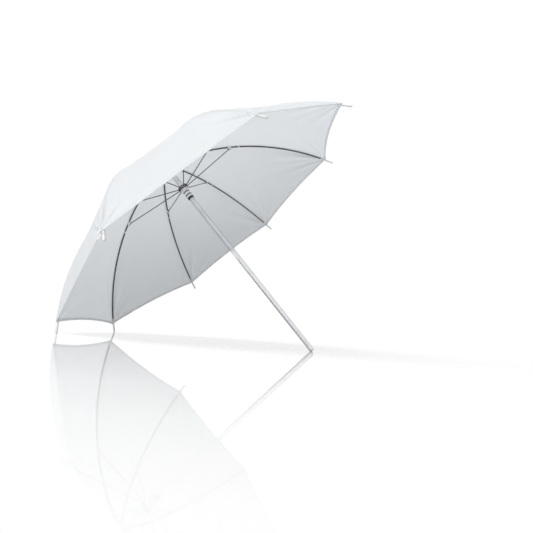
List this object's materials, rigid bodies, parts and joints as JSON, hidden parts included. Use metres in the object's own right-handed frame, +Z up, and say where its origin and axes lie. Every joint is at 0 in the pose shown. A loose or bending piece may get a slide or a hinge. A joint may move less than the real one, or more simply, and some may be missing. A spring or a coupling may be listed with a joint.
{
  "type": "photographic umbrella",
  "caption": "Open white translucent studio umbrella with curved steel ribs, stretchers, sliding runner, straight tube shaft and round-ended rib tips.",
  "frame": {"origin": "centre of the footprint box on the floor that the open umbrella rests on", "axes": "+Z up. The shaft runs in the XZ plane from the crown on the -X side, up, to its free end on the +X side, down on the floor. Ribs 1 and 8 are the two that touch the floor."},
  "size_m": [0.516, 0.696, 0.4906],
  "materials": {
    "polished_tube": "polished plated steel tube",
    "end_plug": "polished rounded plug",
    "bright_steel": "bright zinc-plated steel",
    "rib_steel": "dark blued spring steel",
    "stretcher_steel": "dark blued steel wire",
    "dark_plastic": "black moulded plastic",
    "runner_plastic": "light grey moulded plastic",
    "white_plastic": "white moulded plastic",
    "nylon": "natural nylon",
    "canopy_fabric": "thin white translucent woven nylon",
    "strap_tape": "white woven tape"
  },
  "bodies": {
    "frame": {"shaft": "polished_tube", "shaft_end_cap": "end_plug", "shaft_pins": "bright_steel", "crown_notch": "dark_plastic", "crown_wire": "bright_steel", "crown_washer": "nylon", "crown_patch": "canopy_fabric", "ferrule": "white_plastic"},
    "catch": {"catch_blade": "bright_steel"},
    "runner": {"runner_ring": "dark_plastic", "runner_body": "runner_plastic", "runner_bands": "dark_plastic", "runner_collar": "dark_plastic"},
    "rib_1_arm": {"rib_1": "rib_steel", "rib_hardware_1": "bright_steel", "rib_tip_1": "white_plastic", "canopy_panel_1": "canopy_fabric"},
    "stretcher_1_arm": {"stretcher_1": "stretcher_steel"},
    "rib_2_arm": {"rib_2": "rib_steel", "rib_hardware_2": "bright_steel", "rib_tip_2": "white_plastic", "canopy_panel_2": "canopy_fabric"},
    "stretcher_2_arm": {"stretcher_2": "stretcher_steel"},
    "rib_3_arm": {"rib_3": "rib_steel", "rib_hardware_3": "bright_steel", "rib_tip_3": "white_plastic", "canopy_panel_3": "canopy_fabric"},
    "stretcher_3_arm": {"stretcher_3": "stretcher_steel"},
    "rib_4_arm": {"rib_4": "rib_steel", "rib_hardware_4": "bright_steel", "rib_tip_4": "white_plastic", "canopy_panel_4": "canopy_fabric"},
    "stretcher_4_arm": {"stretcher_4": "stretcher_steel"},
    "rib_5_arm": {"rib_5": "rib_steel", "rib_hardware_5": "bright_steel", "rib_tip_5": "white_plastic", "canopy_panel_5": "canopy_fabric"},
    "stretcher_5_arm": {"stretcher_5": "stretcher_steel"},
    "rib_6_arm": {"rib_6": "rib_steel", "rib_hardware_6": "bright_steel", "rib_tip_6": "white_plastic", "canopy_panel_6": "canopy_fabric"},
    "stretcher_6_arm": {"stretcher_6": "stretcher_steel"},
    "rib_7_arm": {"rib_7": "rib_steel", "rib_hardware_7": "bright_steel", "rib_tip_7": "white_plastic", "canopy_panel_7": "canopy_fabric", "closing_strap": "strap_tape"},
    "stretcher_7_arm": {"stretcher_7": "stretcher_steel"},
    "rib_8_arm": {"rib_8": "rib_steel", "rib_hardware_8": "bright_steel", "rib_tip_8": "white_plastic", "canopy_panel_8": "canopy_fabric"},
    "stretcher_8_arm": {"stretcher_8": "stretcher_steel"}
  },
  "joints": [
    {"name": "runner_slide", "type": "slide", "parent": "frame", "child": "runner", "axis": [0.6841, 0, -0.7294], "range_m": [0, 0.23077], "deforming": ["canopy_panel_1", "canopy_panel_2", "canopy_panel_3", "canopy_panel_4", "canopy_panel_5", "canopy_panel_6", "canopy_panel_7", "canopy_panel_8", "closing_strap", "catch_blade"]},
    {"name": "catch_press", "type": "hinge", "parent": "frame", "child": "catch", "pos_m": [-0.04947, 0, 0.29531], "axis": [0, -1, 0], "range_deg": [0, 8], "stiffness_Nm_per_rad": 0.3, "springref_deg": -3.44},
    {"name": "rib_hinge_1", "type": "hinge", "parent": "frame", "child": "rib_1_arm", "pos_m": [-0.13558, 0.00306, 0.37633], "axis": [-0.2791, -0.9239, -0.2618], "range_deg": [0, 61.53]},
    {"name": "stretcher_hinge_1", "type": "hinge", "parent": "rib_1_arm", "child": "stretcher_1_arm", "pos_m": [-0.2148, 0.06128, 0.25536], "axis": [-0.2791, -0.9239, -0.2618], "range_deg": [-124.17, 0]},
    {"name": "rib_hinge_2", "type": "hinge", "parent": "frame", "child": "rib_2_arm", "pos_m": [-0.13242, 0.00739, 0.37929], "axis": [-0.6739, -0.3827, -0.632], "range_deg": [0, 61.53]},
    {"name": "stretcher_hinge_2", "type": "hinge", "parent": "rib_2_arm", "child": "stretcher_2_arm", "pos_m": [-0.15159, 0.14793, 0.31464], "axis": [-0.6739, -0.3827, -0.632], "range_deg": [-124.17, 0]},
    {"name": "rib_hinge_3", "type": "hinge", "parent": "frame", "child": "rib_3_arm", "pos_m": [-0.12795, 0.00739, 0.38348], "axis": [-0.6739, 0.3827, -0.632], "range_deg": [0, 61.53]},
    {"name": "stretcher_hinge_3", "type": "hinge", "parent": "rib_3_arm", "child": "stretcher_3_arm", "pos_m": [-0.0622, 0.14793, 0.39847], "axis": [-0.6739, 0.3827, -0.632], "range_deg": [-124.17, 0]},
    {"name": "rib_hinge_4", "type": "hinge", "parent": "frame", "child": "rib_4_arm", "pos_m": [-0.12479, 0.00306, 0.38644], "axis": [-0.2791, 0.9239, -0.2618], "range_deg": [0, 61.53]},
    {"name": "stretcher_hinge_4", "type": "hinge", "parent": "rib_4_arm", "child": "stretcher_4_arm", "pos_m": [0.00101, 0.06128, 0.45775], "axis": [-0.2791, 0.9239, -0.2618], "range_deg": [-124.17, 0]},
    {"name": "rib_hinge_5", "type": "hinge", "parent": "frame", "child": "rib_5_arm", "pos_m": [-0.12479, -0.00306, 0.38644], "axis": [0.2791, 0.9239, 0.2618], "range_deg": [0, 61.53]},
    {"name": "stretcher_hinge_5", "type": "hinge", "parent": "rib_5_arm", "child": "stretcher_5_arm", "pos_m": [0.00101, -0.06128, 0.45775], "axis": [0.2791, 0.9239, 0.2618], "range_deg": [-124.17, 0]},
    {"name": "rib_hinge_6", "type": "hinge", "parent": "frame", "child": "rib_6_arm", "pos_m": [-0.12795, -0.00739, 0.38348], "axis": [0.6739, 0.3827, 0.632], "range_deg": [0, 61.53]},
    {"name": "stretcher_hinge_6", "type": "hinge", "parent": "rib_6_arm", "child": "stretcher_6_arm", "pos_m": [-0.0622, -0.14793, 0.39847], "axis": [0.6739, 0.3827, 0.632], "range_deg": [-124.17, 0]},
    {"name": "rib_hinge_7", "type": "hinge", "parent": "frame", "child": "rib_7_arm", "pos_m": [-0.13242, -0.00739, 0.37929], "axis": [0.6739, -0.3827, 0.632], "range_deg": [0, 61.53]},
    {"name": "stretcher_hinge_7", "type": "hinge", "parent": "rib_7_arm", "child": "stretcher_7_arm", "pos_m": [-0.15159, -0.14793, 0.31464], "axis": [0.6739, -0.3827, 0.632], "range_deg": [-124.17, 0]},
    {"name": "rib_hinge_8", "type": "hinge", "parent": "frame", "child": "rib_8_arm", "pos_m": [-0.13558, -0.00306, 0.37633], "axis": [0.2791, -0.9239, 0.2618], "range_deg": [0, 61.53]},
    {"name": "stretcher_hinge_8", "type": "hinge", "parent": "rib_8_arm", "child": "stretcher_8_arm", "pos_m": [-0.2148, -0.06128, 0.25536], "axis": [0.2791, -0.9239, 0.2618], "range_deg": [-124.17, 0]}
  ],
  "couplings": [
    {"joint": "rib_hinge_1", "follows": "runner_slide", "rad_per_m": 4.65},
    {"joint": "stretcher_hinge_1", "follows": "runner_slide", "rad_per_m": -9.3871},
    {"joint": "rib_hinge_2", "follows": "runner_slide", "rad_per_m": 4.65},
    {"joint": "stretcher_hinge_2", "follows": "runner_slide", "rad_per_m": -9.3871},
    {"joint": "rib_hinge_3", "follows": "runner_slide", "rad_per_m": 4.65},
    {"joint": "stretcher_hinge_3", "follows": "runner_slide", "rad_per_m": -9.3871},
    {"joint": "rib_hinge_4", "follows": "runner_slide", "rad_per_m": 4.65},
    {"joint": "stretcher_hinge_4", "follows": "runner_slide", "rad_per_m": -9.3871},
    {"joint": "rib_hinge_5", "follows": "runner_slide", "rad_per_m": 4.65},
    {"joint": "stretcher_hinge_5", "follows": "runner_slide", "rad_per_m": -9.3871},
    {"joint": "rib_hinge_6", "follows": "runner_slide", "rad_per_m": 4.65},
    {"joint": "stretcher_hinge_6", "follows": "runner_slide", "rad_per_m": -9.3871},
    {"joint": "rib_hinge_7", "follows": "runner_slide", "rad_per_m": 4.65},
    {"joint": "stretcher_hinge_7", "follows": "runner_slide", "rad_per_m": -9.3871},
    {"joint": "rib_hinge_8", "follows": "runner_slide", "rad_per_m": 4.65},
    {"joint": "stretcher_hinge_8", "follows": "runner_slide", "rad_per_m": -9.3871}
  ]
}
